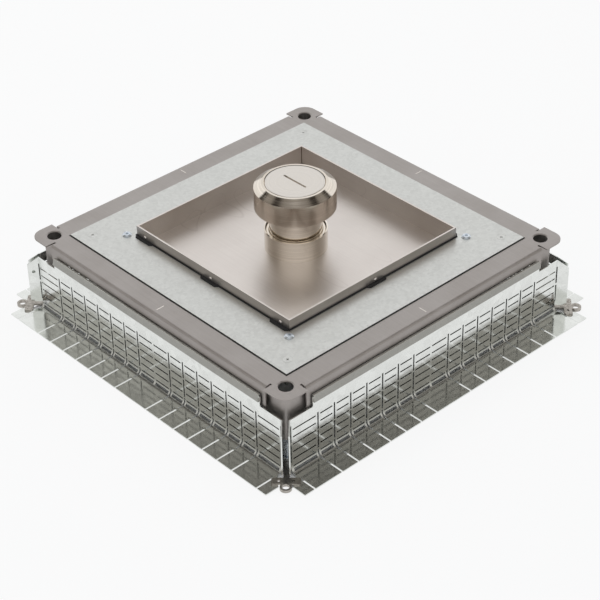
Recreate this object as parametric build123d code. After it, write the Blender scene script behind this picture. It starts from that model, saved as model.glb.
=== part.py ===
from build123d import *
import os
from math import radians, sqrt, tan

# Under-floor junction box with a levelling frame, a lid plate, a floor tray and a raised cable outlet tube.
# All sizes are in millimetres. The origin is at the centre of the box, on the floor that it stands on.

# Clearances
run_fit = 0.05          # radial, shaft in a bore that turns or slides
loose_fit = 0.3         # between pieces that only sit beside each other
seat_gap = 0.2          # under a shoulder that turns on a plate
seal_clearance = 0.1    # round screws, plugs and rubber rings
past = 1.0              # how far a cutting shape overruns, and joined shapes overlap

# Base walls, four alike, galvanised sheet
wall_sheet = 1.5
wall_plane = 221.0      # outer face of a wall, from the centre
wall_top = 85.0
wall_end_inset = 7.0    # where a wall folds into its corner fin, short of the wall beside it
hem_inset = 40.0        # the hemmed top edge stops here and the wall steps down
hem_drop = 6.0
hem_flare = 2.4         # how far the folded edge stands off at its foot
step_drop = 12.5
foot_bend = 6.0         # radius of the fold between wall and floor flange
flange_width = 37.4     # the floor flange, from the face of the wall
flange_overhang = 8.0   # how far its ends run past the wall beside it

# Knock-out pattern in the walls
slot_pitch = 24.4
first_slot = 27.7       # first upright slot, from the middle of the wall
slot_margin = 30.0      # free of upright slots at each end of a wall
upright_width = 2.0
upright_top = 61.5
upright_webs = (37.7, 11.5)
web_height = 2.0
row_count = 6
row_pitch = 10.0
top_row = 58.2
row_height = 1.8
row_web = 2.2           # metal left between a row slot and an upright slot
middle_web = 3.0        # metal left at the middle of the wall
foot_row = (2.4, 5.2)   # the wide row in the fold itself
fold_slot_reach = 4.4   # how far an upright slot runs on past the fold, into the flange
flange_web = 2.5
end_slot_shift = 0.4
tab_step = 4.0          # the cut-away corner at each end of the floor flange
tab_neck = 7.0
tab_slant = 13.0

# Corner fins
fin_length = 14.0
fin_drop = 10.5
fin_foot = 9.0
fin_slots = ((14.0, 38.0), (41.0, 64.0))
fin_slot_width = 1.8
fin_slot_reach = 3.0
fin_turn = 45.0         # angle between a wall and its fin
fin_hole_r = 2.2
fin_hole_height = 52.0

# Corner feet with an eyelet for a floor screw
foot_plate = 2.0
eyelet_offset = 15.0    # centre of the eyelet beyond the faces of both walls
eyelet_hole_r = 4.15
eyelet_r = 6.6
foot_pad_r = 15.0
foot_boss_r = 9.0
foot_neck_half = 3.3
foot_wing_half = 16.0
foot_wing_width = 10.0
foot_wing_corner = 1.5
rivet_hole_r = 1.6
rivet_spread = 8.0

# Levelling screws and their nuts
screw_inset = 18.8      # axis of each levelling screw, inside the faces of both walls
screw_r = 4.0
screw_top_drop = 29.0   # below the top of the frame
screw_pin_r = 2.5
screw_collar_r = 7.0
screw_collar = 4.5
screw_socket_across = 4.0
screw_socket_depth = 5.0
nut_across = 13.0
nut_height = 6.5

# Top frame, stainless sheet
frame_sheet = 1.5
frame_rise = 16.0       # top of the frame above the walls, at rest
frame_inset = 3.0       # outer face of the skirt, inside the face of the wall
frame_fold_r = 3.0
frame_border = 28.0
skirt_drop = 14.0
skirt_leg_drop = 29.0
ear_size = 30.7         # how much of each side the ears take
skirt_leg = 9.5
relief_width = 2.7
relief_depth = 4.5
ear_overhang = 5.5
ear_corner_r = 16.0
ear_hole_r = 8.5
ear_hole_chamfer = 0.7
ear_hole_flare = 1.5    # how much wider the hole is at the top

# Corner posts under the ears
post_inset = 5.0
post_leg = 31.0
post_sheet = 2.0
post_drop = 63.0        # below the top of the frame
post_bend = 8.0         # outer radius of the upright fold

# Ledge that carries the lid plate, and its gasket
ledge_sheet = 1.5
ledge_lap = 3.5         # how far the ledge reaches under the frame
ledge_width = 17.5
ledge_drop = 6.3        # top of the ledge below the top of the frame plate
gusset_reach = 10.0     # screw gusset in each corner of the ledge, inside the screw's axis
gasket_width = 10.0
gasket_inset = 0.5

# Lid plate and its screws
lid_gap = 1.5
lid_sheet = 3.0
lid_proud = 1.2
tray_gap = 1.5          # between the tray and the opening in the lid
lid_screw_inset = 18.5
lid_screw_r = 3.0
lid_screw_head_r = 5.8
lid_screw_reach = 8.0

# Floor tray
tray_half = 132.5
tray_wall = 2.0
tray_rise = 12.8        # rim of the tray above the lid
tray_depth = 26.0
tray_corner_r = 1.6     # relief hole in each folded corner of the tray
seal_drop = 3.0
seal_rise = 1.0

# Notches in the lid for the spring clips of the tray, and the rivets that hold the clips
notch_inset = 15.0      # end notches, from the corners of the tray
notch_half = 15.0
notch_depth = 3.6
notch_slant = 2.88
clip_rivet_r = 2.2
clip_rivet_top_r = 1.2
clip_rivet_height = 0.9
clip_rivet_drop = 9.6   # below the rim of the tray

# Brackets and screws that carry the tray under the lid
bracket_sheet = 1.5
bracket_half = 12.0
bracket_overlap = 0.5   # how far a bracket stands into the corner of the opening
bracket_screw_inset = 7.0
bracket_screw_r = 2.5
bracket_screw_head_r = 5.6
bracket_screw_head = 2.2
bracket_screw_bevel = 0.6    # as a share of the head's height
bracket_screw_socket = 3.2
bracket_screw_reach = 4.5
bracket_flange = 24.0
bracket_shelf = 22.0

# Collar, bush and locking ring round the outlet tube
collar_gap = 4.5        # between the tube and the collar, for the bush
collar_wall = 1.5
bush_flange_width = 6.0
bush_flange = 3.0
bush_rise = 18.0
ring_height = 6.0
ring_round = 1.2        # rounding of the ring's upper edges
ring_play = 0.6         # between the ring and the collar

# Outlet tube and its head
tube_r = 31.5
tube_wall = 2.0
tube_raise = 30.0       # how far the head stands above the collar when the tube is up
tube_below = 25.0
head_groove = 5.25     # width of the hollow under the head
head_height = 32.4
head_bevel_width = 9.5
head_bevel_drop = 6.5
head_socket = 6.0
head_hub = 8.0          # thickness of the hub that rests on the collar when the tube is down
head_wall = 3.5
head_hollow = 18.0
head_seal_height = 5.0

# Cap in the head
cap_rim = 3.7           # how far the cap reaches past the tube
cap_gap = 0.8           # between the cap and the head
cap_edge = 0.5          # chamfer round the top of the cap
cap_thick = 6.4
cap_plug_gap = 1.1
cap_plug = 10.0
coin_slot = (37.0, 2.6, 2.4)
cap_groove_depth = 1.0
cap_groove = (7.0, 4.0) # low and high edge, below the cap's rim

# Earth terminal on the inside of the back wall
earth_height = 30.0
earth_stud_r = 3.0
earth_stud_length = 14.0
earth_tag_half = 9.0
earth_nut_across = 10.0
earth_nut = 4.0
earth_nut_gap = 3.0     # between the tag and the nut, for the ring terminal

# Worked-out places
root_two = sqrt(2)
wall_inner = wall_plane - wall_sheet
wall_end = wall_plane - wall_end_inset
hem_half = wall_plane - hem_inset
step_top = wall_top - step_drop
flange_reach = wall_plane + flange_width
flange_half = wall_plane + flange_overhang
end_slot = wall_end + end_slot_shift
uprights_per_side = 1 + int((wall_end - slot_margin - first_slot) / slot_pitch)
eyelet = wall_plane + eyelet_offset
frame_top = wall_top + frame_rise
frame_fold = wall_plane - frame_inset
frame_opening = frame_fold - frame_border
frame_under = frame_top - frame_sheet
skirt_end = frame_fold - ear_size
ear_reach = frame_fold + ear_overhang
post_face = frame_fold - post_inset
post_bottom = frame_top - post_drop
screw_offset = wall_plane - screw_inset
screw_top = frame_top - screw_top_drop
ledge_top = frame_top - ledge_drop
ledge_outer = frame_opening + ledge_lap
ledge_inner = ledge_outer - ledge_width
lid_top = frame_top + lid_proud
lid_under = lid_top - lid_sheet
lid_half = frame_opening - lid_gap
lid_opening = tray_half + tray_gap
lid_screw_offset = lid_half - lid_screw_inset
gusset = lid_screw_offset - gusset_reach
bracket_screw_offset = lid_opening + bracket_screw_inset
tray_rim = lid_top + tray_rise
notch_end = tray_half - notch_inset
tray_floor = tray_rim - tray_depth
tray_under = tray_floor - tray_wall
collar_bore = tube_r + collar_gap
collar_r = collar_bore + collar_wall
bush_flange_r = collar_bore + bush_flange_width
bush_top = tray_floor + bush_rise
ring_bottom = bush_top + seat_gap
head_bottom = tray_rim + tube_raise
head_top = head_bottom + head_height
cap_bottom = head_top - cap_thick
foot_top = wall_sheet + foot_plate
head_bore = tube_r - tube_wall
head_r = tube_r + head_hub + head_groove + head_wall
cap_r = tube_r + cap_rim
cap_plug_r = head_bore - cap_plug_gap


def block(x0, x1, y0, y1, z0, z1):
    """Box between two corners."""
    return Pos((x0 + x1) / 2, (y0 + y1) / 2, (z0 + z1) / 2) * Box(x1 - x0, y1 - y0, z1 - z0)


def rod(r, z0, z1, x=0.0, y=0.0):
    """Upright cylinder."""
    return Pos(x, y, (z0 + z1) / 2) * Cylinder(r, z1 - z0)


def tube(r_out, r_in, z0, z1):
    return rod(r_out, z0, z1) - rod(r_in, z0 - 1, z1 + 1)


def plate(points, z0, z1):
    """Flat plate with the outline given by points."""
    outline = Plane.XY.offset(z0) * make_face(Polyline(*points, close=True))
    return extrude(outline, z1 - z0)


def square_ring(outer, inner, z0, z1):
    return block(-outer, outer, -outer, outer, z0, z1) - block(-inner, inner, -inner, inner, z0 - 1, z1 + 1)


def hexagon(across, z0, z1, x=0.0, y=0.0):
    face = Plane.XY.offset(z0) * Pos(x, y) * RegularPolygon(across / 2, 6, major_radius=False)
    return extrude(face, z1 - z0)


def bent_profile(points, bends):
    """Section of a folded sheet: an outline in Y and Z with some of its corners rounded."""
    face = make_face(Polyline(*points, close=True))
    for (y, z), radius in bends:
        corner = face.vertices().sort_by_distance((y, z, 0))[0]
        face = fillet(corner, radius)
    return face


def along_x(face, half):
    """Section in Y and Z, drawn out to both sides of the middle."""
    return extrude(Plane.YZ * face, half, both=True)


def quarter(piece, step):
    """Copy of a piece turned about the middle of the box by quarter turns."""
    return Rot(0, 0, 90 * step) * piece


def diagonal(piece, step):
    """Piece drawn along +X, turned to the corner front_right and on by quarter turns."""
    return Rot(0, 0, 90 * step - 45) * piece


# Base walls
def upright_places():
    one_side = [first_slot + slot_pitch * k for k in range(uprights_per_side)]
    return [-x for x in reversed(one_side)] + one_side


def row_spans():
    """Start and end of each slot in a row, between the upright slots."""
    places = upright_places()
    keep = upright_width / 2 + row_web
    spans = [(-wall_end + keep, places[0] - keep)]
    for left, right in zip(places, places[1:]):
        if left < 0 < right:
            spans += [(left + keep, -middle_web / 2), (middle_web / 2, right - keep)]
        else:
            spans.append((left + keep, right - keep))
    spans.append((places[-1] + keep, wall_end - keep))
    return spans


def wall_slots():
    outside = -(wall_plane + past)
    inside = -(wall_inner - past)
    foot_start = -(wall_plane + foot_bend + fold_slot_reach)
    half = upright_width / 2
    cuts = []
    for x in upright_places():
        upper, lower = upright_webs
        web = web_height / 2
        cuts.append(block(x - half, x + half, outside, inside, upper + web, upright_top))
        cuts.append(block(x - half, x + half, outside, inside, lower + web, upper - web))
        cuts.append(block(x - half, x + half, foot_start, inside, -past, lower - web))
    for start, end in row_spans():
        for row in range(row_count):
            z = top_row - row * row_pitch
            cuts.append(block(start, end, outside, inside, z - row_height / 2, z + row_height / 2))
        cuts.append(block(start, end, -(wall_plane + foot_bend), inside, *foot_row))
    for x in upright_places() + [-end_slot, end_slot]:
        edge = -(flange_reach + past)
        cuts.append(block(x - half, x + half, edge, foot_start - flange_web, -past, wall_sheet + past))
    return cuts


def wall_sheet_body():
    """Wall with its fold and flange, before any slot is cut."""
    inner, outer, reach = -wall_inner, -wall_plane, -flange_reach
    section = [(inner, step_top), (inner, 0), (reach, 0), (reach, wall_sheet),
               (outer, wall_sheet), (outer, step_top)]
    bends = [((inner, 0), foot_bend + wall_sheet), ((outer, wall_sheet), foot_bend)]
    body = along_x(bent_profile(section, bends), wall_end)
    foot = wall_top - hem_drop
    hem = [(inner, step_top), (inner, wall_top), (outer, wall_top), (outer - hem_flare, foot),
           (outer, foot), (outer, step_top)]
    return body + along_x(bent_profile(hem, [((outer, wall_top), wall_sheet * 0.9)]), hem_half)


def flange_tab(side):
    """End of the floor flange, beyond the folded part."""
    y0 = -(wall_plane + foot_bend)
    y_out = -flange_reach
    root = wall_end - past
    corner = [(root, y0), (wall_end, y0), (wall_end + tab_step, y0 - tab_neck), (flange_half, y0 - tab_slant),
              (flange_half, y_out), (root, y_out)]
    return plate([(side * x, y) for x, y in corner], 0, wall_sheet)


def corner_fin(side):
    """End of the wall, folded out along the diagonal, with a sloping top."""
    along = 1 / root_two
    x0, y0 = wall_end, -wall_plane
    x1, y1 = x0 + fin_length * along, y0 - fin_length * along
    t = wall_sheet
    mitre = t * tan(radians(fin_turn / 2))
    outline = [(x0 - past, y0), (x0, y0), (x1, y1), (x1 + t * along, y1 + t * along),
               (x0 + mitre, y0 + t), (x0 - past, y0 + t)]
    fin = plate([(side * x, y) for x, y in outline], fin_foot, step_top)
    over = step_top + past
    slope = [(0, step_top), (fin_length, step_top - fin_drop), (fin_length + past, over), (0, over)]
    wedge = extrude(Plane.XZ * make_face(Polyline(*slope, close=True)), t * 3, both=True)
    turn = Rot(0, 0, -fin_turn) if side > 0 else Rot(0, 0, fin_turn - 180)
    return fin - Pos(side * x0, y0, 0) * turn * wedge


def fold_cuts(side):
    """Slots along the fold between a wall and its fin."""
    width, reach = fin_slot_width / 2, fin_slot_reach
    place = Pos(side * wall_end, -wall_plane + wall_sheet / 2, 0) * Rot(0, 0, -side * fin_turn / 2)
    return [place * block(-width, width, -reach, reach, z0, z1) for z0, z1 in fin_slots]


def make_wall():
    wall = wall_sheet_body() + flange_tab(1) + flange_tab(-1) + corner_fin(1) + corner_fin(-1)
    wall = wall - wall_slots() - fold_cuts(1) - fold_cuts(-1)
    hole = Rot(90, 0, 0) * Cylinder(fin_hole_r, wall_sheet * 5)
    middle = fin_length / root_two / 2
    return wall - Pos(-wall_end - middle, -wall_plane - middle, fin_hole_height) * Rot(0, 0, fin_turn) * hole


# Corner feet
def make_foot():
    """Foot drawn along +X: pad under the screw, neck between the fins, wings on the flanges, eyelet."""
    screw_at = screw_offset * root_two
    ring_at = eyelet * root_two
    wing_end = ring_at - eyelet_r * 0.7
    pad = rod(foot_pad_r, wall_sheet, foot_top, screw_at)
    neck = block(screw_at, wing_end, -foot_neck_half, foot_neck_half, wall_sheet, foot_top)
    wings = block(wing_end - foot_wing_width, wing_end, -foot_wing_half, foot_wing_half, wall_sheet, foot_top)
    wings = chamfer(wings.edges().filter_by(Axis.Z), foot_wing_corner)
    boss = rod(foot_boss_r, 0, wall_sheet, screw_at)
    foot = pad + neck + wings + boss + rod(eyelet_r, 0, foot_top, ring_at)
    foot -= rod(eyelet_hole_r, -past, foot_top + past, ring_at)
    foot -= rod(screw_pin_r + run_fit, -past, foot_top + past, screw_at)
    for side in (1, -1):
        foot -= rod(rivet_hole_r, 0, foot_top + past, wing_end - foot_wing_width / 2, side * rivet_spread)
    return foot


# Levelling screws
def make_levelling_screw():
    bottom = foot_top + seat_gap
    at = (screw_offset, -screw_offset)
    screw = rod(screw_collar_r, bottom, bottom + screw_collar, *at)
    screw += rod(screw_r, bottom, screw_top, *at)
    screw += rod(screw_pin_r, seat_gap, bottom, *at)
    screw -= hexagon(screw_socket_across, screw_top - screw_socket_depth, screw_top + past, *at)
    return screw


def make_levelling_nut():
    bottom = post_bottom + post_sheet
    at = (screw_offset, -screw_offset)
    return hexagon(nut_across, bottom, bottom + nut_height, *at) - rod(screw_r + run_fit, 0, frame_top, *at)


# Top frame
def make_skirt():
    """Folded edge of the frame with a longer leg at each end."""
    out, inn = -frame_fold, -(frame_fold - frame_sheet)
    root = -(frame_fold - frame_fold_r - past)
    section = [(root, frame_top), (out, frame_top), (out, frame_top - skirt_drop),
               (inn, frame_top - skirt_drop), (inn, frame_under), (root, frame_under)]
    bends = [((out, frame_top), frame_fold_r), ((inn, frame_under), frame_fold_r - frame_sheet)]
    skirt = along_x(bent_profile(section, bends), skirt_end)
    for side in (1, -1):
        x0, x1 = sorted((side * (skirt_end - skirt_leg), side * skirt_end))
        skirt += block(x0, x1, out, inn, frame_top - skirt_leg_drop, frame_top - skirt_drop)
    return skirt


def make_top_frame():
    edge = frame_fold - frame_fold_r
    sheet = block(-edge, edge, -edge, edge, frame_under, frame_top)
    ear_start = skirt_end + relief_width
    for step in range(4):
        ear = block(ear_start, ear_reach, -ear_reach, -ear_start, frame_under, frame_top)
        tip = ear.edges().filter_by(Axis.Z).sort_by_distance((ear_reach, -ear_reach, frame_top))[0]
        sheet += quarter(fillet(tip, ear_corner_r), step)
    for step in range(4):
        for side in (1, -1):
            x0, x1 = sorted((side * skirt_end, side * ear_start))
            relief = block(x0, x1, -frame_fold, -(edge - relief_depth), frame_under - past, frame_top + past)
            sheet -= quarter(relief, step)
    opening = frame_opening
    sheet -= block(-opening, opening, -opening, opening, frame_under - past, frame_top + past)
    for step in range(4):
        hole = rod(ear_hole_r, frame_under - past, frame_top + past, screw_offset, -screw_offset)
        sink = Pos(screw_offset, -screw_offset, frame_top - ear_hole_chamfer / 2)
        cone = sink * Cone(ear_hole_r, ear_hole_r + ear_hole_flare, ear_hole_chamfer)
        sheet -= quarter(hole + cone, step)
    frame = sheet
    for step in range(4):
        frame += quarter(make_skirt(), step)
    return frame


def upright_fold(piece, reach, radius):
    """Rounds the outer upright edge of a piece that stands in the front right corner."""
    edge = piece.edges().filter_by(Axis.Z).sort_by_distance((reach, -reach, frame_under))[0]
    return fillet(edge, radius)


def make_post():
    """Folded corner angle that hangs from an ear and holds the levelling nut at its foot."""
    face, start = post_face, post_face - post_leg
    inner = face - post_sheet
    post = upright_fold(block(start, face, -face, -start, post_bottom, frame_under), face, post_bend)
    room = block(start - past, inner, -inner, -start + past, post_bottom + post_sheet, frame_under + past)
    post -= upright_fold(room, inner, post_bend - post_sheet)
    post -= rod(screw_r + loose_fit, 0, frame_under, screw_offset, -screw_offset)
    return post


# Ledge and gasket
def make_ledge():
    z0 = ledge_top - ledge_sheet
    ledge = square_ring(ledge_outer, ledge_inner, z0, ledge_top)
    ledge += square_ring(ledge_outer, ledge_outer - ledge_sheet, ledge_top, frame_under)
    reach = ledge_outer - past
    for step in range(4):
        ledge += quarter(block(gusset, reach, -reach, -gusset, z0, ledge_top), step)
        hole = rod(lid_screw_r + loose_fit, 0, frame_top, lid_screw_offset, -lid_screw_offset)
        ledge -= quarter(hole, step)
    return ledge


def make_gasket():
    outer = lid_half - gasket_inset
    return square_ring(outer, outer - gasket_width, ledge_top, lid_under)


# Lid plate
def notch_places():
    """Quarter turn and place along that side, for each notch: three in front and at the back."""
    ends = [(step, x) for step in (0, 2) for x in (-notch_end, notch_end)]
    return [(step, 0.0) for step in range(4)] + ends


def notch_shapes(shrink, z0, z1):
    """Rounded tongues that reach into the lid, at each notch of its opening."""
    shapes = []
    half, reach = notch_half - shrink, lid_opening + notch_depth - shrink
    for step, x in notch_places():
        tongue = block(x - half, x + half, -reach, -(lid_opening - past), z0, z1)
        tips = tongue.edges().filter_by(Axis.Z).group_by(Axis.Y)[0]
        shapes.append(quarter(chamfer(tips, notch_slant), step))
    return shapes


def make_lid():
    lid = block(-lid_half, lid_half, -lid_half, lid_half, lid_under, lid_top)
    lid -= block(-lid_opening, lid_opening, -lid_opening, lid_opening, lid_under - past, lid_top + past)
    lid -= notch_shapes(0, lid_under - past, lid_top + past)
    for step in range(4):
        at = (lid_screw_offset, -lid_screw_offset)
        depth = lid_screw_head_r - lid_screw_r
        hole = rod(lid_screw_r + seal_clearance, 0, head_top, *at)
        cone = Cone(lid_screw_r + seal_clearance, lid_screw_head_r + seal_clearance, depth)
        lid -= quarter(hole + Pos(*at, lid_top - depth / 2) * cone, step)
        bracket_at = (bracket_screw_offset, -bracket_screw_offset)
        lid -= quarter(rod(bracket_screw_r + seal_clearance, 0, head_top, *bracket_at), step)
    return lid


def make_lid_screw():
    at = (lid_screw_offset, -lid_screw_offset)
    depth = lid_screw_head_r - lid_screw_r
    head = Pos(*at, lid_top - depth / 2) * Cone(lid_screw_r, lid_screw_head_r, depth)
    return head + rod(lid_screw_r, lid_under - lid_screw_reach, lid_top - depth, *at)


# Tray carriers
def make_bracket():
    """Bracket drawn along +X: flange under the lid, drop, and a shelf under the corner of the tray."""
    drop_at = lid_opening * root_two - bracket_overlap
    t, half = bracket_sheet, bracket_half
    bracket = block(drop_at, drop_at + bracket_flange, -half, half, lid_under - t, lid_under)
    bracket += block(drop_at, drop_at + t, -half, half, tray_under - t, lid_under)
    bracket += block(drop_at - bracket_shelf, drop_at + t, -half, half, tray_under - t, tray_under)
    bracket -= rod(bracket_screw_r + seal_clearance, 0, frame_top, bracket_screw_offset * root_two)
    return bracket


def make_bracket_screw():
    at = bracket_screw_offset * root_two
    head = rod(bracket_screw_head_r, lid_top, lid_top + bracket_screw_head, at)
    rim = head.edges().filter_by(GeomType.CIRCLE).sort_by(Axis.Z)[-1]
    head = chamfer(rim, bracket_screw_head * bracket_screw_bevel)
    head -= hexagon(bracket_screw_socket, lid_top + past, lid_top + bracket_screw_head + past, at)
    return head + rod(bracket_screw_r, lid_under - bracket_screw_reach, lid_top + past / 2, at)


# Tray
def make_tray():
    inner = tray_half - tray_wall
    tray = block(-tray_half, tray_half, -tray_half, tray_half, tray_under, tray_rim)
    tray -= block(-inner, inner, -inner, inner, tray_floor, tray_rim + past)
    tray -= rod(collar_bore, tray_under - past, tray_floor + past)
    for step in range(4):
        at = inner - tray_corner_r
        tray -= quarter(rod(tray_corner_r, tray_under - past, tray_floor + past, at, -at), step)
    for step, x in notch_places():
        rivet = Pos(x, -tray_half - clip_rivet_height / 2, tray_rim - clip_rivet_drop) * Rot(90, 0, 0)
        tray += quarter(rivet * Cone(clip_rivet_r, clip_rivet_top_r, clip_rivet_height), step)
    return tray


def make_tray_seal():
    outer = lid_opening - seal_clearance
    low, high = lid_top - seal_drop, lid_top + seal_rise
    seal = square_ring(outer, tray_half + seal_clearance, low, high)
    return seal + notch_shapes(seal_clearance, low, high)


def make_collar():
    return tube(collar_r, collar_bore, tray_floor, tray_rim)


def make_bush():
    bore = tube_r + run_fit
    bush = tube(collar_bore - seal_clearance, bore, tray_under - past, bush_top)
    return bush + tube(bush_flange_r, bore, tray_under - bush_flange, tray_under)


def make_locking_ring():
    """Ring in the gap between tube and collar, turned to clamp the tube."""
    ring = tube(collar_bore - ring_play, tube_r + run_fit, ring_bottom, ring_bottom + ring_height)
    upper = ring.edges().filter_by(GeomType.CIRCLE).group_by(Axis.Z)[-1]
    return fillet(upper, ring_round)


# Outlet tube, head and cap
def make_outlet_tube():
    return tube(tube_r, head_bore, tray_under - tube_below, head_bottom + head_socket)


def make_head():
    """Turned head with a bevelled edge and a recess for the cap."""
    top_r = head_r - head_bevel_width
    recess = cap_r + cap_gap
    socket_top = head_bottom + head_socket
    socket_r = tube_r + run_fit
    section = [(head_bore, socket_top), (socket_r, socket_top), (socket_r, head_bottom),
               (head_r, head_bottom), (head_r, head_top - head_bevel_drop), (top_r, head_top),
               (recess, head_top), (recess, cap_bottom), (head_bore, cap_bottom)]
    head = revolve(Plane.XZ * make_face(Polyline(*section, close=True)), Axis.Z)
    return head - tube(head_r - head_wall, tube_r + head_hub, head_bottom - past, head_bottom + head_hollow)


def make_head_seal():
    """Rubber ring in the mouth of the hollow under the head."""
    outer = head_r - head_wall - seal_clearance
    inner = tube_r + head_hub + seal_clearance
    return tube(outer, inner, head_bottom, head_bottom + head_seal_height)


def make_cap():
    length, width, depth = coin_slot
    cap = rod(cap_r, cap_bottom + seat_gap, head_top)
    cap = chamfer(cap.edges().filter_by(GeomType.CIRCLE).sort_by(Axis.Z)[-1], cap_edge)
    cap += rod(cap_plug_r, cap_bottom - cap_plug, cap_bottom + past)
    cap -= block(-length / 2, length / 2, -width / 2, width / 2, head_top - depth, head_top + past)
    low, high = cap_groove
    return cap - tube(cap_plug_r + past, cap_plug_r - cap_groove_depth, cap_bottom - low, cap_bottom - high)


def make_cap_seal():
    low, high = cap_groove
    inner = cap_plug_r - cap_groove_depth + run_fit
    return tube(head_bore - seal_clearance, inner, cap_bottom - low + seat_gap, cap_bottom - high - seat_gap)


# Earth terminal
def make_earth_terminal():
    """Welded stud with a tag plate and nut on the inside of the back wall."""
    y = wall_inner
    half = earth_tag_half
    tag_face = y - wall_sheet
    tag = block(-half, half, tag_face, y, earth_height - half, earth_height + half)
    into_box = Rot(90, 0, 0)
    stud = Pos(0, tag_face, earth_height) * into_box * rod(earth_stud_r, 0, earth_stud_length)
    nut = Pos(0, tag_face - earth_nut_gap, earth_height) * into_box * hexagon(earth_nut_across, 0, earth_nut)
    return tag + stud + nut


corner_names = ("front_right", "back_right", "back_left", "front_left")
side_names = ("front", "right", "back", "left")


def build_parts():
    parts = {}
    wall = make_wall()
    for step, name in enumerate(side_names):
        parts["wall_" + name] = quarter(wall, step)
    for step, name in enumerate(corner_names):
        parts["corner_foot_" + name] = diagonal(make_foot(), step)
        parts["levelling_screw_" + name] = quarter(make_levelling_screw(), step)
        parts["levelling_nut_" + name] = quarter(make_levelling_nut(), step)
        parts["corner_post_" + name] = quarter(make_post(), step)
        parts["tray_bracket_" + name] = diagonal(make_bracket(), step)
    parts["top_frame"] = make_top_frame()
    parts["lid_ledge"] = make_ledge()
    parts["lid_gasket"] = make_gasket()
    parts["lid_plate"] = make_lid()
    parts["lid_screws"] = Compound([quarter(make_lid_screw(), step).solid() for step in range(4)])
    parts["bracket_screws"] = Compound([diagonal(make_bracket_screw(), step).solid() for step in range(4)])
    parts["tray"] = make_tray()
    parts["tray_seal"] = make_tray_seal()
    parts["collar"] = make_collar()
    parts["guide_bush"] = make_bush()
    parts["locking_ring"] = make_locking_ring()
    parts["outlet_tube"] = make_outlet_tube()
    parts["tube_head"] = make_head()
    parts["head_seal"] = make_head_seal()
    parts["cap"] = make_cap()
    parts["cap_seal"] = make_cap_seal()
    parts["earth_terminal"] = make_earth_terminal()
    return parts


os.makedirs("parts", exist_ok=True)
for node, shape in build_parts().items():
    export_step(shape, "parts/" + node + ".step")
    print(node, len(shape.solids()), round(shape.volume))
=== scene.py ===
from math import cos, pi, radians, sin

import bmesh
import bpy
from mathutils import Matrix, Vector


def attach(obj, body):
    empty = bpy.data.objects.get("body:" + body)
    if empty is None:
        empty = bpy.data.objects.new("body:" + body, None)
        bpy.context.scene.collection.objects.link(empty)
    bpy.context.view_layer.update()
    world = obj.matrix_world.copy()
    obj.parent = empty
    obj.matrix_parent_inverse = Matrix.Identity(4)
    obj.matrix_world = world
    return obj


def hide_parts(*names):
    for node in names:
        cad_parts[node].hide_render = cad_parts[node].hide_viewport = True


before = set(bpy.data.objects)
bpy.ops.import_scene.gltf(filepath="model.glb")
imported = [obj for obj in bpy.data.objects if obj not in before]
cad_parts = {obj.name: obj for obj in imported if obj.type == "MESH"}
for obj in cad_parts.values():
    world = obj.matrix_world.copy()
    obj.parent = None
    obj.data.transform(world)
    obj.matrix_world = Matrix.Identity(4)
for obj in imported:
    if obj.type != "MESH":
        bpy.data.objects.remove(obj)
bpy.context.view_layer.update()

mm = 0.001
bpy.context.scene.view_settings.view_transform = "Standard"
print("frame loaded:", len(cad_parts), "nodes")


# Colours and material nodes
def linear(hexColour):
    channels = [int(hexColour[i:i + 2], 16) / 255 for i in (1, 3, 5)]
    return [c / 12.92 if c <= 0.04045 else ((c + 0.055) / 1.055) ** 2.4 for c in channels] + [1.0]


def addNode(material, kind, settings=None, links=None):
    # settings are the node's own properties or socket values, links are (socket, source node, output)
    node = material.node_tree.nodes.new(kind)
    for name, value in (settings or {}).items():
        if isinstance(name, str) and hasattr(node, name):
            setattr(node, name, value)
        else:
            node.inputs[name].default_value = value
    for socket, source, output in links or []:
        material.node_tree.links.new(source.outputs[output], node.inputs[socket])
    return node


def startMaterial(name, metallic, roughness):
    material = bpy.data.materials.new(name)
    material.use_nodes = True
    shader = material.node_tree.nodes["Principled BSDF"]
    shader.inputs["Metallic"].default_value = metallic
    shader.inputs["Roughness"].default_value = roughness
    return material, shader


def connect(material, source, output, target, socket):
    material.node_tree.links.new(source.outputs[output], target.inputs[socket])


noiseSpan = {"From Min": 0.3, "From Max": 0.7}  # most of a noise's values lie between these

# Hot-dip galvanised sheet: zinc crystals of about 9 mm give a faint spangle, and rolling leaves
# it slightly wavy. fold is the height of the bend and half its width
galvanised = {"dark": "#dcdedb", "light": "#e6e8e5", "crystal": 9, "wave": 90, "waveHeight": 0.07,
              "rough": (0.12, 0.18), "fold": (5.4, 3.2), "foldRough": 0.2}


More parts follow.
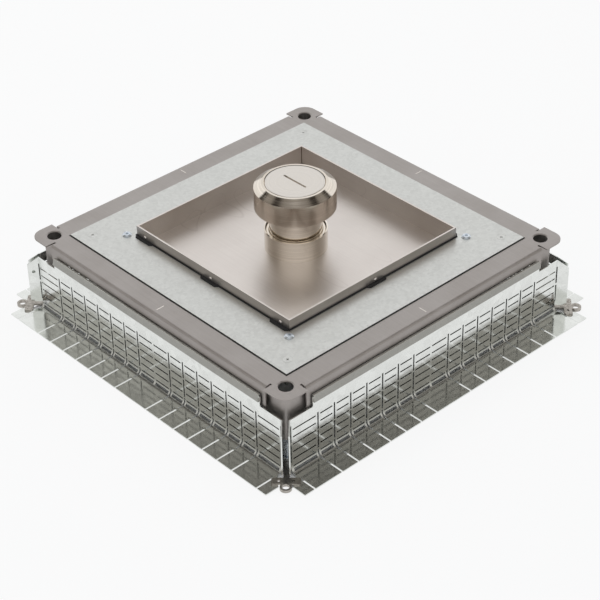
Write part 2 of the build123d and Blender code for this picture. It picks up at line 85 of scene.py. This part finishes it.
def makeGalvanised(name, look):
    material, shader = startMaterial(name, 1.0, look["rough"][0])
    place = addNode(material, "ShaderNodeTexCoord")
    crystalPlace = addNode(material, "ShaderNodeMapping",
                           {"Scale": (1 / (look["crystal"] * mm),) * 3},
                           [("Vector", place, "Object")])
    crystals = addNode(material, "ShaderNodeTexVoronoi", {"Scale": 1.0},
                       [("Vector", crystalPlace, "Vector")])
    grey = addNode(material, "ShaderNodeRGBToBW", {}, [("Color", crystals, "Color")])
    # frost on the crystals, four times finer than they are
    frost = addNode(material, "ShaderNodeTexNoise", {"Scale": 4.0, "Detail": 4.0},
                    [("Vector", crystalPlace, "Vector")])
    frostPart = addNode(material, "ShaderNodeMath", {"operation": "MULTIPLY", 1: 0.55},
                        [(0, frost, "Fac")])
    blend = addNode(material, "ShaderNodeMath", {"operation": "MULTIPLY_ADD", 1: 0.45},
                    [(0, grey, "Val"), (2, frostPart, "Value")])
    share = addNode(material, "ShaderNodeMapRange", noiseSpan, [("Value", blend, "Value")])
    tone = addNode(material, "ShaderNodeMix",
                   {"data_type": "RGBA", 6: linear(look["dark"]), 7: linear(look["light"])},
                   [("Factor", share, "Result")])
    connect(material, tone, 2, shader, "Base Color")
    low, high = look["rough"]
    gloss = addNode(material, "ShaderNodeMapRange", {**noiseSpan, "To Min": high, "To Max": low},
                    [("Value", blend, "Value")])
    connect(material, gloss, "Result", shader, "Roughness")
    if "fold" in look:
        # bending strains the zinc, so the fold at the foot of a wall is duller than the flat sheet
        level = addNode(material, "ShaderNodeSeparateXYZ", {}, [("Vector", place, "Object")])
        at, reach = (v * mm for v in look["fold"])
        inFold = addNode(material, "ShaderNodeMath", {"operation": "COMPARE", 1: at, 2: reach},
                         [(0, level, "Z")])
        strained = addNode(material, "ShaderNodeMath",
                           {"operation": "MULTIPLY_ADD", 1: look["foldRough"]},
                           [(0, inFold, "Value"), (2, gloss, "Result")])
        connect(material, strained, "Value", shader, "Roughness")
    wavePlace = addNode(material, "ShaderNodeMapping", {"Scale": (1 / (look["wave"] * mm),) * 3},
                        [("Vector", place, "Object")])
    wave = addNode(material, "ShaderNodeTexNoise", {"Scale": 1.0, "Detail": 1.5},
                   [("Vector", wavePlace, "Vector")])
    broad = addNode(material, "ShaderNodeBump",
                    {"Strength": look["waveHeight"], "Distance": 0.6 * mm}, [("Height", wave, "Fac")])
    fine = addNode(material, "ShaderNodeBump", {"Strength": 0.12, "Distance": 0.05 * mm},
                   [("Height", blend, "Value"), ("Normal", broad, "Normal")])
    connect(material, fine, "Normal", shader, "Normal")
    return material


# Cold-rolled stainless sheet: a warm grey with fine rolling lines, drawn 0.8 mm apart so that
# they show
rolled = {"dark": "#a8a29e", "light": "#bfbab7", "line": 0.8, "run": 60, "cloud": 45,
          "rough": (0.44, 0.54), "groove": 0.15}
# Long scratches from handling, drawn about 0.5 mm wide so that they show
scratch = {"run": 200, "apart": 45.45, "angle": 28, "level": 0.62, "width": 0.004}


def makeRolled(name, look):
    material, shader = startMaterial(name, 1.0, look["rough"][0])
    place = addNode(material, "ShaderNodeTexCoord")
    across, along = 1 / (look["line"] * mm), 1 / (look["run"] * mm)
    linesPlace = addNode(material, "ShaderNodeMapping", {"Scale": (along, across, across)},
                         [("Vector", place, "Object")])
    lines = addNode(material, "ShaderNodeTexNoise", {"Scale": 1.0, "Detail": 3.0},
                    [("Vector", linesPlace, "Vector")])
    cloudPlace = addNode(material, "ShaderNodeMapping", {"Scale": (1 / (look["cloud"] * mm),) * 3},
                         [("Vector", place, "Object")])
    cloud = addNode(material, "ShaderNodeTexNoise", {"Scale": 1.0, "Detail": 3.0},
                    [("Vector", cloudPlace, "Vector")])
    cloudPart = addNode(material, "ShaderNodeMath", {"operation": "MULTIPLY", 1: 0.65},
                        [(0, cloud, "Fac")])
    blend = addNode(material, "ShaderNodeMath", {"operation": "MULTIPLY_ADD", 1: 0.35},
                    [(0, lines, "Fac"), (2, cloudPart, "Value")])
    marked = blend
    if "scratch" in look:
        # a scratch is where a stretched noise passes one level
        apart = 1 / (scratch["apart"] * mm)
        scratchPlace = addNode(material, "ShaderNodeMapping",
                               {"Scale": (1 / (scratch["run"] * mm), apart, apart),
                                "Rotation": (0, 0, radians(scratch["angle"]))},
                               [("Vector", place, "Object")])
        scratches = addNode(material, "ShaderNodeTexNoise", {"Scale": 1.0, "Detail": 0.0},
                            [("Vector", scratchPlace, "Vector")])
        away = addNode(material, "ShaderNodeMath", {"operation": "SUBTRACT", 1: scratch["level"]},
                       [(0, scratches, "Fac")])
        distance = addNode(material, "ShaderNodeMath", {"operation": "ABSOLUTE"},
                           [(0, away, "Value")])
        thin = addNode(material, "ShaderNodeMapRange",
                       {"From Min": 0.0, "From Max": scratch["width"], "To Min": look["scratch"],
                        "To Max": 0.0}, [("Value", distance, "Value")])
        marked = addNode(material, "ShaderNodeMath", {"operation": "SUBTRACT"},
                         [(0, blend, "Value"), (1, thin, "Result")])
    share = addNode(material, "ShaderNodeMapRange", noiseSpan, [("Value", marked, "Value")])
    tone = addNode(material, "ShaderNodeMix",
                   {"data_type": "RGBA", 6: linear(look["dark"]), 7: linear(look["light"])},
                   [("Factor", share, "Result")])
    connect(material, tone, 2, shader, "Base Color")
    if "upright" in look:
        # painted shade: vertical faces get a darker base colour than flat ones, standing in for the
        # light that falls less on them
        facing = addNode(material, "ShaderNodeSeparateXYZ", {}, [("Vector", place, "Normal")])
        level = addNode(material, "ShaderNodeMath", {"operation": "ABSOLUTE"}, [(0, facing, "Z")])
        upright = addNode(material, "ShaderNodeMapRange",
                          {**noiseSpan, "To Min": look["upright"], "To Max": 1.0},
                          [("Value", level, "Value")])
        uprightShaded = addNode(material, "ShaderNodeVectorMath", {"operation": "SCALE"},
                         [(0, tone, 2), ("Scale", upright, "Result")])
        connect(material, uprightShaded, "Vector", shader, "Base Color")
    low, high = look["rough"]
    gloss = addNode(material, "ShaderNodeMapRange", {**noiseSpan, "To Min": low, "To Max": high},
                    [("Value", blend, "Value")])
    connect(material, gloss, "Result", shader, "Roughness")
    bump = addNode(material, "ShaderNodeBump", {"Strength": look["groove"], "Distance": 0.03 * mm},
                   [("Height", lines, "Fac")])
    connect(material, bump, "Normal", shader, "Normal")
    return material


# Turned stainless: the lathe leaves rings round the axis, drawn 0.6 mm apart so that they show
turned = {"dark": "#d3cabe", "light": "#ece4d9", "ring": 0.6, "drift": 66.67, "rough": (0.08, 0.15),
          "streak": 0.7}
# Faced stainless: the same rings cut into a flat end
faced = {"dark": "#cdc7c0", "light": "#e0dbd5", "ring": 0.6, "rough": (0.14, 0.22), "streak": 0.4}


def makeTurned(name, look, flat=False):
    material, shader = startMaterial(name, 1.0, look["rough"][0])
    place = addNode(material, "ShaderNodeTexCoord")
    if flat:
        level = addNode(material, "ShaderNodeVectorMath", {"operation": "MULTIPLY", 1: (1, 1, 0)},
                        [(0, place, "Object")])
        radius = addNode(material, "ShaderNodeVectorMath", {"operation": "LENGTH"},
                         [(0, level, "Vector")])
        turns = addNode(material, "ShaderNodeMath", {"operation": "DIVIDE", 1: look["ring"] * mm},
                        [(0, radius, "Value")])
        rings = addNode(material, "ShaderNodeTexNoise", {"noise_dimensions": "1D", "Scale": 1.0},
                        [("W", turns, "Value")])
    else:
        drift = 1 / (look["drift"] * mm)
        ringPlace = addNode(material, "ShaderNodeMapping",
                            {"Scale": (drift, drift, 1 / (look["ring"] * mm))},
                            [("Vector", place, "Object")])
        rings = addNode(material, "ShaderNodeTexNoise", {"Scale": 1.0, "Detail": 3.0},
                        [("Vector", ringPlace, "Vector")])
    share = addNode(material, "ShaderNodeMapRange", noiseSpan, [("Value", rings, "Fac")])
    tone = addNode(material, "ShaderNodeMix",
                   {"data_type": "RGBA", 6: linear(look["dark"]), 7: linear(look["light"])},
                   [("Factor", share, "Result")])
    connect(material, tone, 2, shader, "Base Color")
    low, high = look["rough"]
    gloss = addNode(material, "ShaderNodeMapRange", {**noiseSpan, "To Min": low, "To Max": high},
                    [("Value", rings, "Fac")])
    connect(material, gloss, "Result", shader, "Roughness")
    bump = addNode(material, "ShaderNodeBump", {"Strength": 0.2, "Distance": 0.02 * mm},
                   [("Height", rings, "Fac")])
    connect(material, bump, "Normal", shader, "Normal")
    # the grooves run round the axis, so the sheen is drawn out across them
    shader.inputs["Anisotropic"].default_value = look["streak"]
    shader.inputs["Anisotropic Rotation"].default_value = 0.25
    tangent = addNode(material, "ShaderNodeTangent", {"direction_type": "RADIAL", "axis": "Z"})
    connect(material, tangent, "Tangent", shader, "Tangent")
    return material


# Moulded rubber and nylon: dark, soft sheen, with the fine grain of the mould
rubber = {"dark": "#0d0e10", "light": "#1b1c1e", "grain": 1.2, "rough": 0.62}
nylon = {"dark": "#141416", "light": "#232326", "grain": 2.0, "rough": 0.42}


def makeMoulded(name, look):
    material, shader = startMaterial(name, 0.0, look["rough"])
    place = addNode(material, "ShaderNodeTexCoord")
    grainPlace = addNode(material, "ShaderNodeMapping", {"Scale": (1 / (look["grain"] * mm),) * 3},
                         [("Vector", place, "Object")])
    grain = addNode(material, "ShaderNodeTexNoise", {"Scale": 1.0, "Detail": 4.0},
                    [("Vector", grainPlace, "Vector")])
    share = addNode(material, "ShaderNodeMapRange", noiseSpan, [("Value", grain, "Fac")])
    tone = addNode(material, "ShaderNodeMix",
                   {"data_type": "RGBA", 6: linear(look["dark"]), 7: linear(look["light"])},
                   [("Factor", share, "Result")])
    connect(material, tone, 2, shader, "Base Color")
    bump = addNode(material, "ShaderNodeBump", {"Strength": 0.3, "Distance": 0.05 * mm},
                   [("Height", grain, "Fac")])
    connect(material, bump, "Normal", shader, "Normal")
    return material


wallFinish = makeGalvanised("galvanisedWallSheet", galvanised)
# Galvanised and skin-passed plate: the rolls crush the crystals, so it is even and matt
lidLook = {"dark": "#cecfcc", "light": "#d6d7d4", "crystal": 3, "wave": 80, "waveHeight": 0.2,
           "rough": (0.32, 0.42)}
lidFinish = makeGalvanised("galvanisedLidPlate", lidLook)
frameFinish = makeRolled("rolledStainlessFrame", rolled)
# Stainless sheet of a finer rolling, brighter than the frame and scratched by use, with painted shade
# on its vertical faces
trayLook = {"dark": "#d8d1cc", "light": "#e9e3de", "line": 0.9, "run": 90, "cloud": 60,
            "rough": (0.34, 0.42), "scratch": 0.25, "upright": 0.9, "groove": 0.08}
trayFinish = makeRolled("rolledStainlessTray", trayLook)
turnedFinish = makeTurned("turnedStainless", turned)
facedFinish = makeTurned("facedStainless", faced, flat=True)
# Zinc-plated steel: bright, smooth and a little blue
zincLook = {"dark": "#b9c2cc", "light": "#dfe5ea", "crystal": 2, "wave": 30, "waveHeight": 0.1,
            "rough": (0.16, 0.3)}
zincFinish = makeGalvanised("zincPlatedSteel", zincLook)
# Passivated zinc casting: greyer and duller than the sheet, with a fine sand-like skin
castLook = {"dark": "#98938c", "light": "#bab5ae", "crystal": 1.5, "wave": 12, "waveHeight": 0.2,
            "rough": (0.3, 0.45)}
castFinish = makeGalvanised("passivatedZincCasting", castLook)
rubberFinish = makeMoulded("mouldedRubber", rubber)
nylonFinish = makeMoulded("mouldedNylon", nylon)

# A key that ends in _ stands for all the nodes that start with it
finishes = {
    "wall_": wallFinish, "corner_foot_": castFinish, "earth_terminal": zincFinish,
    "top_frame": frameFinish, "corner_post_": frameFinish, "levelling_": zincFinish,
    "lid_plate": lidFinish, "lid_ledge": lidFinish, "tray_bracket_": lidFinish,
    "lid_screws": zincFinish, "bracket_screws": zincFinish, "lid_gasket": rubberFinish,
    "tray": trayFinish, "tray_seal": rubberFinish, "guide_bush": nylonFinish,
    "collar": turnedFinish, "locking_ring": turnedFinish, "outlet_tube": turnedFinish,
    "tube_head": turnedFinish, "head_seal": rubberFinish, "cap": facedFinish,
    "cap_seal": rubberFinish,
}
for nodeName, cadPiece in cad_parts.items():
    matches = [key for key in finishes
               if nodeName == key or (key.endswith("_") and nodeName.startswith(key))]
    cadPiece.data.materials.clear()
    cadPiece.data.materials.append(finishes[max(matches, key=len)])
print("materials given to the sheet metal and turned pieces")


# Mesh making, all sizes in millimetres
def closedRings(bm, rings):
    # rings of equal counts of points, joined by faces and closed at both ends
    made = [[bm.verts.new(Vector(p) * mm) for p in ring] for ring in rings]
    count = len(rings[0])
    for low, high in zip(made, made[1:]):
        for i in range(count):
            bm.faces.new((low[i], low[(i + 1) % count], high[(i + 1) % count], high[i]))
    bm.faces.new(list(reversed(made[0])))
    bm.faces.new(made[-1])


def ringAt(x, y, z, radius, count):
    # radius is a number, or a function of the angle
    points = []
    for i in range(count):
        angle = 2 * pi * i / count
        r = radius(angle) if callable(radius) else radius
        points.append((x + r * cos(angle), y + r * sin(angle), z))
    return points


def finishPiece(name, bm, body, material, smooth=True):
    bmesh.ops.recalc_face_normals(bm, faces=bm.faces)
    mesh = bpy.data.meshes.new(name)
    bm.to_mesh(mesh)
    bm.free()
    piece = bpy.data.objects.new(name, mesh)
    bpy.context.scene.collection.objects.link(piece)
    mesh.materials.append(material)
    if smooth:
        mesh.shade_smooth()
        mesh.set_sharp_from_angle(angle=radians(35))
    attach(piece, body)
    return piece


# The corners of the box, as the signs of x and y
cornerSigns = {"front_right": (1, -1), "back_right": (1, 1), "back_left": (-1, 1),
               "front_left": (-1, -1)}

# Centre marks pressed into the middle of each side of the top frame
centreMark = {"inner": 201.0, "outer": 212.0, "halfWidth": 0.8, "proud": 0.12, "rooted": 0.3,
              "bevel": 0.15, "top": 101.0}
markFinish = makeTurned("brightPressedMark", {**faced, "drift": turned["drift"]})
bm = bmesh.new()
for step in range(4):
    turn = Matrix.Rotation(step * pi / 2, 3, "Z")
    rows = []
    for z, inset in ((centreMark["top"] - centreMark["rooted"], 0.0),
                     (centreMark["top"] + centreMark["proud"], centreMark["bevel"])):
        x0, x1 = centreMark["inner"] + inset, centreMark["outer"] - inset
        w = centreMark["halfWidth"] - inset
        rows.append([turn @ Vector(p) for p in ((x0, -w, z), (x1, -w, z), (x1, w, z), (x0, w, z))])
    closedRings(bm, rows)
finishPiece("centreMarks", bm, "frame", markFinish, smooth=False)
print("centre marks pressed")

# Folded hem along the top edge of each wall: a lip of two sheets with a rounded nose
hem = {"half": 180.0, "inner": 219.2, "outer": 221.0, "top": 87.6, "foot": 80.0, "lean": 2.2,
       "round": 0.9, "noseReach": 0.7, "noseSteps": 4, "skinGap": 0.05, "foldThickness": 0.7}


def hemOutline():
    # from the inner edge of the lip over the nose to the foot, and back up inside the outer skin
    top, skin = hem["top"], hem["outer"] + hem["skinGap"]
    points = [(hem["inner"], top - hem["foldThickness"]), (hem["inner"], top)]
    for i in range(hem["noseSteps"] + 1):
        angle = pi / 2 * (1 - i / hem["noseSteps"])
        points.append((hem["outer"] + hem["round"] * (cos(angle) - 1 + hem["noseReach"]),
                       top - hem["round"] * (1 - sin(angle))))
    points += [(hem["outer"] + hem["lean"] + hem["round"] * hem["noseReach"], hem["foot"]),
               (skin, hem["foot"]), (skin, top - hem["foldThickness"])]
    return points


for side, quarterTurn in (("front", 0), ("right", 1), ("back", 2), ("left", 3)):
    turn = Matrix.Rotation(quarterTurn * pi / 2, 3, "Z")
    bm = bmesh.new()
    closedRings(bm, [[turn @ Vector((x, -out, z)) for out, z in hemOutline()]
                     for x in (-hem["half"], hem["half"])])
    finishPiece("wallHem_" + side, bm, "base", wallFinish)
print("wall hems folded")

# Welded seams up the four inner corners of the tray, darkened by the heat
seam = {"corner": 130.5, "radius": 0.55, "low": 90.8, "high": 114.6, "taper": 0.4,
        "endShare": 0.7, "count": 12}
seamLook = {**rolled, "dark": "#4a3f36", "light": "#6b5d50", "line": 0.4, "run": 4}
seamFinish = makeRolled("heatTintedSeam", seamLook)
bm = bmesh.new()
for signX, signY in cornerSigns.values():
    x, y = signX * seam["corner"], signY * seam["corner"]
    closedRings(bm, [ringAt(x, y, z, seam["radius"] * part, seam["count"]) for z, part in (
        (seam["low"], seam["endShare"]), (seam["low"] + seam["taper"], 1.0),
        (seam["high"] - seam["taper"], 1.0), (seam["high"], seam["endShare"]))])
finishPiece("traySeams", bm, "tray", seamFinish)
print("tray seams welded")

# Countersunk lid screws with a cross recess
lidScrew = {"at": 170.0, "headRadius": 5.8, "shank": 3.0, "top": 102.2, "bottom": 91.2,
            "tipTaper": 0.6, "coneDrop": 0.1, "rimDrop": 0.15, "rimInset": 0.2, "arm": 2.0,
            "armWidth": 0.5, "recess": 1.1, "recessTaper": 0.55, "count": 48}


def crossRadius(angle):
    toArm = abs((angle + pi / 4) % (pi / 2) - pi / 4)
    return min(lidScrew["arm"], lidScrew["armWidth"] / max(sin(toArm), 0.01))


def recessFloor(angle):
    return crossRadius(angle) * lidScrew["recessTaper"]


bm = bmesh.new()
top, bottom, shank = (lidScrew[key] for key in ("top", "bottom", "shank"))
cone = lidScrew["headRadius"] - shank
for signX, signY in cornerSigns.values():
    x, y = signX * lidScrew["at"], signY * lidScrew["at"]
    closedRings(bm, [ringAt(x, y, z, radius, lidScrew["count"]) for z, radius in (
        (bottom, shank - lidScrew["tipTaper"]), (bottom + lidScrew["tipTaper"], shank),
        (top - cone - lidScrew["coneDrop"], shank),
        (top - lidScrew["rimDrop"], lidScrew["headRadius"]),
        (top, lidScrew["headRadius"] - lidScrew["rimInset"]), (top, crossRadius),
        (top - lidScrew["recess"], recessFloor))])
lidScrews = finishPiece("lidScrewsCrossHead", bm, "lid", lidFinish)
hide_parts("lid_screws")
print("lid screws made")

# Levelling screws with a rolled thread of 1.25 mm pitch, 0.7 mm deep, and a hexagon socket
levelScrew = {"at": 202.2, "radius": 4.0, "depth": 0.7, "pitch": 1.25, "threadLow": 8.3,
              "threadTop": 71.1, "bottom": 0.2, "pin": 2.5, "collar": 7.0, "collarLow": 3.7,
              "collarTop": 8.2, "collarBevel": 0.4, "high": 72.0, "tip": 0.5, "tipInset": 0.2,
              "socket": 2.0, "socketDepth": 5.0, "steps": 5, "count": 24}


def threadRing(x, y, z):
    points = []
    for i in range(levelScrew["count"]):
        turnPart = i / levelScrew["count"]
        phase = (z / levelScrew["pitch"] - turnPart) % 1.0
        r = levelScrew["radius"] - levelScrew["depth"] * abs(2 * phase - 1)
        points.append((x + r * cos(2 * pi * turnPart), y + r * sin(2 * pi * turnPart), z))
    return points


def socketRadius(angle):
    return levelScrew["socket"] / cos((angle + pi / 6) % (pi / 3) - pi / 6)


collar, bevel = levelScrew["collar"], levelScrew["collarBevel"]
collarLow, collarTop, high = (levelScrew[key] for key in ("collarLow", "collarTop", "high"))
stepHeight = levelScrew["pitch"] / levelScrew["steps"]
threadSteps = int((levelScrew["threadTop"] - levelScrew["threadLow"]) / stepHeight)
footProfile = ((levelScrew["bottom"], levelScrew["pin"]), (collarLow, levelScrew["pin"]),
               (collarLow, collar - bevel), (collarLow + bevel, collar),
               (collarTop - bevel, collar), (collarTop, collar - bevel))
headProfile = ((high - levelScrew["tip"], levelScrew["radius"] - levelScrew["tipInset"]),
               (high, levelScrew["radius"] - levelScrew["depth"]), (high, socketRadius),
               (high - levelScrew["socketDepth"], socketRadius))
for corner, (signX, signY) in cornerSigns.items():
    x, y = signX * levelScrew["at"], signY * levelScrew["at"]
    rings = [ringAt(x, y, z, radius, levelScrew["count"]) for z, radius in footProfile]
    rings += [threadRing(x, y, levelScrew["threadLow"] + i * stepHeight)
              for i in range(threadSteps)]
    rings += [ringAt(x, y, z, radius, levelScrew["count"]) for z, radius in headProfile]
    bm = bmesh.new()
    closedRings(bm, rings)
    screw = finishPiece("levellingScrewThread_" + corner, bm, "screw_" + corner,
                        zincFinish)
    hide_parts("levelling_screw_" + corner)
print("levelling screws threaded")

# Floor. Under the box, and a little to its shaded side, it gives off no light of its own, so that
# the inside stays dark behind the slots. Reflections see it grow darker away from the box, as on
# a lit table in a dim room
floorLook = {"colour": "#f2f2f2", "half": 6.0, "below": 0.0005, "footprint": 231.0,
             "shadowShift": (8.0, 0.0), "glow": 0.82, "brightTo": 305.0, "darkFrom": 420.0,
             "farTone": "#98948f"}
floorMaterial, floorShader = startMaterial("paleStudioFloor", 0.0, 0.9)
floorShader.inputs["Base Color"].default_value = linear(floorLook["colour"])
rays = addNode(floorMaterial, "ShaderNodeLightPath")
seen = addNode(floorMaterial, "ShaderNodeMath", {"operation": "MAXIMUM"},
               [(0, rays, "Is Camera Ray"), (1, rays, "Is Glossy Ray")])
seenAll = addNode(floorMaterial, "ShaderNodeMath", {"operation": "MAXIMUM"},
                  [(0, seen, "Value"), (1, rays, "Is Transmission Ray")])
share = addNode(floorMaterial, "ShaderNodeMath", {"operation": "MULTIPLY", 1: floorLook["glow"]},
                [(0, seenAll, "Value")])
spot = addNode(floorMaterial, "ShaderNodeNewGeometry")
shiftX, shiftY = (v * mm for v in floorLook["shadowShift"])
shifted = addNode(floorMaterial, "ShaderNodeVectorMath",
                  {"operation": "SUBTRACT", 1: (shiftX, shiftY, 0)}, [(0, spot, "Position")])
away = addNode(floorMaterial, "ShaderNodeVectorMath", {"operation": "ABSOLUTE"},
               [(0, shifted, "Vector")])
parts = addNode(floorMaterial, "ShaderNodeSeparateXYZ", {}, [("Vector", away, "Vector")])
farther = addNode(floorMaterial, "ShaderNodeMath", {"operation": "MAXIMUM"},
                  [(0, parts, "X"), (1, parts, "Y")])
outside = addNode(floorMaterial, "ShaderNodeMath",
                  {"operation": "GREATER_THAN", 1: floorLook["footprint"] * mm},
                  [(0, farther, "Value")])
openFloor = addNode(floorMaterial, "ShaderNodeMath", {"operation": "MULTIPLY"},
                    [(0, share, "Value"), (1, outside, "Value")])
farPart = addNode(floorMaterial, "ShaderNodeMapRange",
                  {"From Min": floorLook["brightTo"] * mm, "From Max": floorLook["darkFrom"] * mm},
                  [("Value", farther, "Value")])
farSeen = addNode(floorMaterial, "ShaderNodeMath", {"operation": "MULTIPLY"},
                  [(0, farPart, "Result"), (1, rays, "Is Glossy Ray")])
glowTone = addNode(floorMaterial, "ShaderNodeMix",
                   {"data_type": "RGBA", 6: linear("#ffffff"), 7: linear(floorLook["farTone"])},
                   [("Factor", farSeen, "Value")])
glow = addNode(floorMaterial, "ShaderNodeEmission", {"Strength": 1.0}, [("Color", glowTone, 2)])
floorMix = addNode(floorMaterial, "ShaderNodeMixShader", {}, [("Fac", openFloor, "Value")])
connect(floorMaterial, floorShader, "BSDF", floorMix, 1)
connect(floorMaterial, glow, "Emission", floorMix, 2)
connect(floorMaterial, floorMix, "Shader", floorMaterial.node_tree.nodes["Material Output"],
        "Surface")
bpy.ops.mesh.primitive_plane_add(size=2 * floorLook["half"], location=(0, 0, -floorLook["below"]))
floor = bpy.context.object
floor.name = "studioFloor"
floor.data.materials.append(floorMaterial)
print("floor laid")

# Surround: white on the far side, with greys and dark strips to the near side, as in a studio lit
# from behind the set. It is seen in reflections only. The stops go by how far a direction leans to
# the near side, from -1 to 1; middle, upper and overhead are the heights at which one set of bands
# passes into the next
surround = {
    "nearSide": 48.0, "middle": (0.52, 0.55), "upper": (0.64, 0.66), "overhead": (0.985, 0.995),
    "low": ((-1.0, "#ffffff"), (-0.42, "#ffffff"), (-0.3, "#c0bcb6"), (0.3, "#c0bcb6"),
            (0.55, "#f0eeea"), (1.0, "#ffffff")),
    "mid": ((-1.0, "#ffffff"), (-0.48, "#ffffff"), (-0.45, "#3f3a35"), (-0.36, "#3f3a35"),
            (-0.32, "#dddbd6"), (-0.19, "#d0cdc8"), (-0.13, "#a6a29c"), (0.3, "#a09c96"),
            (0.55, "#f0eeea"), (1.0, "#ffffff")),
    "high": ((-1.0, "#ffffff"), (-0.55, "#ffffff"), (-0.45, "#3f3a35"), (-0.34, "#4a4540"),
             (-0.28, "#95908a"), (-0.1, "#8a857f"), (-0.05, "#332e2a"), (0.05, "#332e2a"),
             (0.1, "#8a857f"), (1.0, "#75706a")),
    "zenith": "#d8d5d0", "ambient": ("#f3f5f7", 0.75)}
world = bpy.data.worlds.new("studioWorld")
bpy.context.scene.world = world
world.use_nodes = True
ambient = world.node_tree.nodes["Background"]
ambient.inputs["Color"].default_value = linear(surround["ambient"][0])
ambient.inputs["Strength"].default_value = surround["ambient"][1]
direction = addNode(world, "ShaderNodeTexCoord")
nearAngle = radians(surround["nearSide"])
lean = addNode(world, "ShaderNodeVectorMath",
               {"operation": "DOT_PRODUCT", 1: (sin(nearAngle), -cos(nearAngle), 0)},
               [(0, direction, "Generated")])
along = addNode(world, "ShaderNodeMapRange", {"From Min": -1.0, "From Max": 1.0},
                [("Value", lean, "Value")])


def addBands(stops):
    bands = addNode(world, "ShaderNodeValToRGB", {}, [("Fac", along, "Result")])
    ramp = bands.color_ramp
    for at, colour in stops:
        stop = ramp.elements[0] if at == -1.0 else ramp.elements.new((at + 1) / 2)
        stop.color = linear(colour)
    ramp.elements[-1].color = linear(stops[-1][1])
    return bands


lowBands, midBands, highBands = (addBands(surround[key]) for key in ("low", "mid", "high"))
height = addNode(world, "ShaderNodeSeparateXYZ", {}, [("Vector", direction, "Generated")])
lowMid, midHigh, overhead = (
    addNode(world, "ShaderNodeMapRange",
            {"From Min": surround[key][0], "From Max": surround[key][1]}, [("Value", height, "Z")])
    for key in ("middle", "upper", "overhead"))
lowerMix = addNode(world, "ShaderNodeMix", {"data_type": "RGBA"},
                   [("Factor", lowMid, "Result"), (6, lowBands, "Color"), (7, midBands, "Color")])
upperMix = addNode(world, "ShaderNodeMix", {"data_type": "RGBA"},
                   [("Factor", midHigh, "Result"), (6, lowerMix, 2), (7, highBands, "Color")])
bandMix = addNode(world, "ShaderNodeMix", {"data_type": "RGBA", 7: linear(surround["zenith"])},
                  [("Factor", overhead, "Result"), (6, upperMix, 2)])
worldRays = addNode(world, "ShaderNodeLightPath")
worldSeen = addNode(world, "ShaderNodeMath", {"operation": "MAXIMUM"},
                    [(0, worldRays, "Is Camera Ray"), (1, worldRays, "Is Transmission Ray")])
white = addNode(world, "ShaderNodeBackground", {"Color": linear("#ffffff"), "Strength": 1.0})
mirrored = addNode(world, "ShaderNodeBackground", {"Strength": 1.0}, [("Color", bandMix, 2)])
openMix = addNode(world, "ShaderNodeMixShader", {}, [("Fac", worldSeen, "Value")])
connect(world, ambient, "Background", openMix, 1)
connect(world, white, "Background", openMix, 2)
glossyMix = addNode(world, "ShaderNodeMixShader", {}, [("Fac", worldRays, "Is Glossy Ray")])
connect(world, openMix, "Shader", glossyMix, 1)
connect(world, mirrored, "Background", glossyMix, 2)
connect(world, glossyMix, "Shader", world.node_tree.nodes["World Output"], "Surface")
print("surround set")

# Lamps: place and size in metres, and power in watts
lamps = {"key": ((-0.9, -0.2, 2.4), 1.8, 13.0), "fill": ((0.0, 0.9, 2.8), 1.6, 5.0)}
for lampName, (place, size, power) in lamps.items():
    light = bpy.data.lights.new(lampName, "AREA")
    light.shape = "SQUARE"
    light.size = size
    light.energy = power
    lamp = bpy.data.objects.new(lampName, light)
    lamp.location = place
    # metal mirrors the surround only, and the lamps lift the dull and dark parts
    lamp.visible_glossy = False
    lamp.rotation_euler = (-Vector(place)).to_track_quat("-Z", "Y").to_euler()
    bpy.context.scene.collection.objects.link(lamp)

# Camera at the photograph's angle
shot = {"target": (-48.1, 47.8, -38.1), "distance": 2330.0, "azimuth": 47.769,
        "elevation": 35.244, "roll": -1.201, "lens": 111.99, "sensor": 36}
azimuth, elevation, roll = (radians(shot[key]) for key in ("azimuth", "elevation", "roll"))
back = Vector((sin(azimuth) * cos(elevation), -cos(azimuth) * cos(elevation), sin(elevation)))
right = (-back).cross(Vector((0, 0, 1))).normalized()
up = right.cross(-back)
turnedRight = right * cos(roll) + up * sin(roll)
turnedUp = up * cos(roll) - right * sin(roll)
place = (Vector(shot["target"]) + back * shot["distance"]) * mm
axes = Matrix((turnedRight, turnedUp, back)).transposed().to_4x4()
cameraData = bpy.data.cameras.new("photoCamera")
cameraData.lens = shot["lens"]
cameraData.sensor_width = shot["sensor"]
cameraData.clip_end = 50
camera = bpy.data.objects.new("photoCamera", cameraData)
camera.matrix_world = Matrix.Translation(place) @ axes
bpy.context.scene.collection.objects.link(camera)
bpy.context.scene.camera = camera
print("lamps and camera set")
